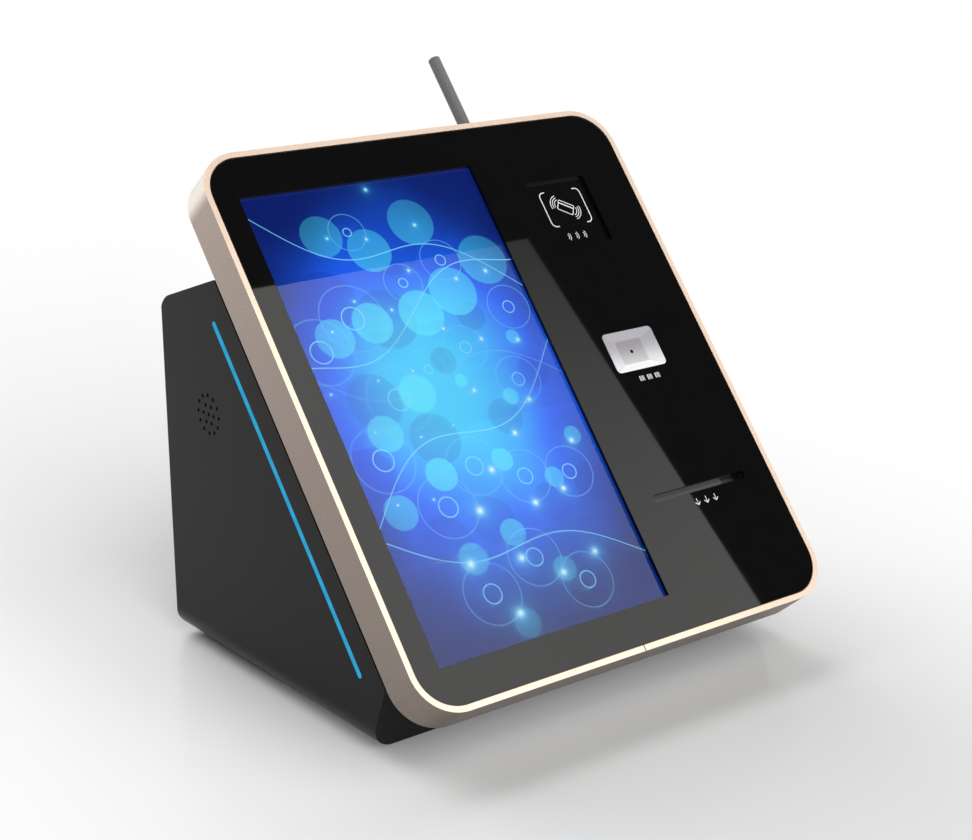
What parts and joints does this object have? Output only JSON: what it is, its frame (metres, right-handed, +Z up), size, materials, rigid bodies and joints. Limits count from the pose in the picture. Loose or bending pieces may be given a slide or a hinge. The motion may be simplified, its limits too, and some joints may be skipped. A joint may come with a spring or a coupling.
{
  "type": "ticket vending kiosk",
  "caption": "Countertop ticket kiosk: framed touch panel on a wedge body, with card reader, code scanner, ticket slot, light strips and folding antenna.",
  "frame": {"origin": "on the counter, under the middle of the kiosk's outline", "axes": "+X to the right seen from the front, +Y to the back, +Z up; the panel faces -Y and up"},
  "size_m": [0.36, 0.3796, 0.4005],
  "materials": {
    "champagne_aluminium": "fine sand-blasted champagne anodising",
    "black_panel": "glossy black",
    "clear_glass": "polished clear",
    "display": "dark display surface",
    "body_paint": "satin charcoal powder coat",
    "dark_plastic": "satin black moulding",
    "pale_plastic": "smooth light grey moulding",
    "glow_blue": "translucent blue light guide",
    "sheet_steel": "zinc-plated sheet",
    "board": "green circuit board",
    "rubber": "soft black rubber",
    "rod_plastic": "satin grey sleeve",
    "brass": "turned brass",
    "white_plastic": "white acetal",
    "motor_metal": "dark motor can",
    "paper": "wound white paper",
    "card": "plain card",
    "dark_metal": "black anodised"
  },
  "bodies": {
    "body": {"front_frame": "champagne_aluminium", "frame_joiner": "sheet_steel", "front_plate": "black_panel", "touch_glass": "clear_glass", "lcd_panel": "display", "lcd_tray": "sheet_steel", "cross_rails": "sheet_steel", "cover_blocks": "dark_plastic", "panel_back_cover": "dark_plastic", "reader_cover": "black_panel", "reader_board": "board", "scanner_bezel": "pale_plastic", "scanner_module": "dark_plastic", "scanner_lens": "clear_glass", "ticket_mouth": "dark_plastic", "main_board": "board", "board_standoffs": "sheet_steel", "heat_sink": "dark_metal", "body_shell": "body_paint", "left_side_panel": "body_paint", "right_side_panel": "body_paint", "rear_panel": "body_paint", "base_plate": "sheet_steel", "feet": "rubber", "case_screws": "sheet_steel", "left_light_strip": "glow_blue", "right_light_strip": "glow_blue", "left_light_board": "board", "right_light_board": "board", "left_speaker": "dark_plastic", "right_speaker": "dark_plastic", "hinge_leaves": "sheet_steel", "power_inlet": "dark_plastic", "inlet_pins": "brass", "switch_frame": "dark_plastic", "power_supply": "sheet_steel", "antenna_socket": "brass", "printer_frame": "sheet_steel", "drive_motor": "motor_metal", "print_head": "dark_plastic", "fixed_blade": "sheet_steel", "roll_bracket": "sheet_steel", "roll_spindle": "sheet_steel"},
    "door": {"rear_door": "body_paint", "door_knuckles": "sheet_steel", "lock_body": "sheet_steel", "lock_nut": "sheet_steel"},
    "lock": {"lock_plug": "sheet_steel", "lock_cam": "sheet_steel"},
    "rocker": {"power_rocker": "dark_plastic"},
    "antenna_swivel": {"antenna_base": "dark_plastic", "antenna_pin": "sheet_steel"},
    "antenna": {"antenna_rod": "rod_plastic"},
    "platen": {"platen_roller": "rubber", "platen_shaft": "sheet_steel", "platen_gear": "white_plastic"},
    "pinion": {"motor_pinion": "sheet_steel"},
    "cutter": {"cutter_blade": "sheet_steel"},
    "roll": {"paper_core": "card", "paper_roll": "paper"}
  },
  "joints": [
    {"name": "rear_door_swing", "type": "hinge", "parent": "body", "child": "door", "pos_m": [0.158, 0.13704, 0.11], "axis": [0, 0, -1], "range_deg": [0, 110]},
    {"name": "lock_turn", "type": "hinge", "parent": "door", "child": "lock", "pos_m": [0.038, 0.13254, 0.11], "axis": [0, -1, 0], "range_deg": [0, 90]},
    {"name": "antenna_turn", "type": "hinge", "parent": "body", "child": "antenna_swivel", "pos_m": [0.1046, 0.09025, 0.27249], "axis": [0, 0.3338, 0.9426], "range_deg": [-90, 90]},
    {"name": "antenna_fold", "type": "hinge", "parent": "antenna_swivel", "child": "antenna", "pos_m": [0.1046, 0.09693, 0.29134], "axis": [-1, 0, 0], "range_deg": [-20.5, 69.5]},
    {"name": "rocker_tilt", "type": "hinge", "parent": "body", "child": "rocker", "pos_m": [-0.08, 0.13134, 0.048], "axis": [-1, 0, 0], "range_deg": [0, 20]},
    {"name": "platen_spin", "type": "hinge", "parent": "body", "child": "platen", "pos_m": [0.10715, -0.09655, 0.08968], "axis": [1, 0, 0], "continuous": true},
    {"name": "pinion_spin", "type": "hinge", "parent": "body", "child": "pinion", "pos_m": [0.10715, -0.07816, 0.07426], "axis": [1, 0, 0], "continuous": true},
    {"name": "cutter_slide", "type": "slide", "parent": "body", "child": "cutter", "axis": [0, -0.6428, -0.766], "range_m": [0, 0.006], "stiffness_N_per_m": 300, "springref_m": -0.001},
    {"name": "roll_spin", "type": "hinge", "parent": "body", "child": "roll", "pos_m": [0.10715, 0.04454, 0.0545], "axis": [1, 0, 0], "continuous": true}
  ],
  "couplings": [
    {"joint": "pinion_spin", "follows": "platen_spin", "ratio": -3}
  ]
}
